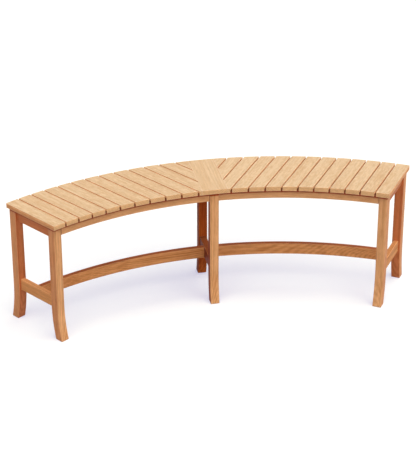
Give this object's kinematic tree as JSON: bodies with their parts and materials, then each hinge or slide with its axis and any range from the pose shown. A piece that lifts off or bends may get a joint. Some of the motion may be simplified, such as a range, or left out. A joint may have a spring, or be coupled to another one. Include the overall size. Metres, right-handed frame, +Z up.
{
  "type": "curved garden bench",
  "caption": "Backless curved garden bench: an arched seat of parallel timber boards on splayed-foot legs, with curved rails and stretchers.",
  "frame": {"origin": "on the ground, under the middle of the bench's bounding box", "axes": "+X to the right along the bench, +Y to the rear, which is the convex side, +Z up"},
  "size_m": [1.4266, 0.4077, 0.45],
  "materials": {
    "seat_timber": "pale, lightly weathered, open grain",
    "frame_timber": "oiled, open grain",
    "stretcher_timber": "oiled, open grain"
  },
  "bodies": {
    "root": {"left_slat_01": "seat_timber", "left_slat_02": "seat_timber", "left_slat_03": "seat_timber", "left_slat_04": "seat_timber", "left_slat_05": "seat_timber", "left_slat_06": "seat_timber", "left_slat_07": "seat_timber", "left_slat_08": "seat_timber", "left_slat_09": "seat_timber", "left_slat_10": "seat_timber", "left_slat_11": "seat_timber", "left_slat_12": "seat_timber", "left_slat_13": "seat_timber", "right_slat_01": "seat_timber", "right_slat_02": "seat_timber", "right_slat_03": "seat_timber", "right_slat_04": "seat_timber", "right_slat_05": "seat_timber", "right_slat_06": "seat_timber", "right_slat_07": "seat_timber", "right_slat_08": "seat_timber", "right_slat_09": "seat_timber", "right_slat_10": "seat_timber", "right_slat_11": "seat_timber", "right_slat_12": "seat_timber", "right_slat_13": "seat_timber", "centre_board": "seat_timber", "left_front_leg": "frame_timber", "left_rear_leg": "frame_timber", "centre_front_leg": "frame_timber", "centre_rear_leg": "frame_timber", "right_front_leg": "frame_timber", "right_rear_leg": "frame_timber", "left_front_rail": "frame_timber", "left_rear_rail": "frame_timber", "right_front_rail": "frame_timber", "right_rear_rail": "frame_timber", "left_end_apron": "frame_timber", "centre_apron": "frame_timber", "right_end_apron": "frame_timber", "left_seat_bearer": "frame_timber", "right_seat_bearer": "frame_timber", "left_end_stretcher": "stretcher_timber", "centre_stretcher": "stretcher_timber", "right_end_stretcher": "stretcher_timber", "left_curved_stretcher": "stretcher_timber", "right_curved_stretcher": "stretcher_timber"}
  },
  "joints": []
}
